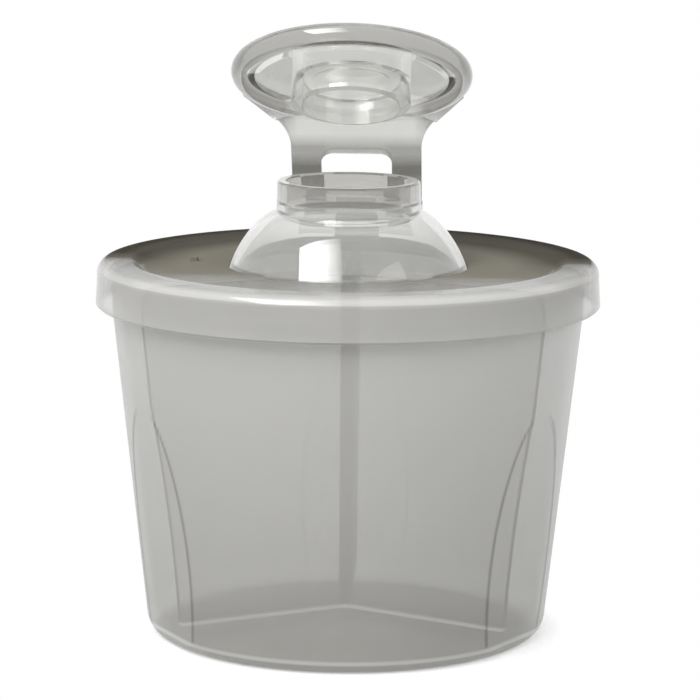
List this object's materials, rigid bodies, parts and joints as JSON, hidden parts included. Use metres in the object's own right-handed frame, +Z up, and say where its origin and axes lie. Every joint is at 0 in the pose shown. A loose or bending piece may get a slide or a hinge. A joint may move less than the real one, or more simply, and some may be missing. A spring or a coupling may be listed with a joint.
{
  "type": "formula container",
  "caption": "Translucent tapered cup with a lift-out divider, a turning lid with a pouring spout, and a hinged plug cap, for carrying measured portions of powder.",
  "frame": {"origin": "centre of the cup's base, on the surface that it stands on", "axes": "+Z up along the axis of the cup and lid, -Y to the front, +Y to the cap's hinge"},
  "size_m": [0.1052, 0.1052, 0.1285],
  "materials": {
    "frosted_cup": "translucent smoke grey, slightly frosted",
    "divider_plastic": "translucent smoke grey, satin",
    "lid_plastic": "translucent smoke grey, glossy",
    "clear_plastic": "clear smoke grey, glossy"
  },
  "bodies": {
    "cup": {"cup": "frosted_cup"},
    "divider": {"divider": "divider_plastic"},
    "lid": {"lid": "lid_plastic", "spout": "clear_plastic"},
    "cap": {"cap": "clear_plastic"}
  },
  "joints": [
    {"name": "lift_out", "type": "slide", "parent": "cup", "child": "divider", "axis": [0, 0, 1], "range_m": [0, 0.11]},
    {"name": "lid_turn", "type": "hinge", "parent": "divider", "child": "lid", "pos_m": [0, 0, 0.0754], "axis": [0, 0, 1], "continuous": true},
    {"name": "cap_flip", "type": "hinge", "parent": "lid", "child": "cap", "pos_m": [0, 0.047, 0.0826], "axis": [-1, 0, 0], "range_deg": [-26, 89]}
  ]
}
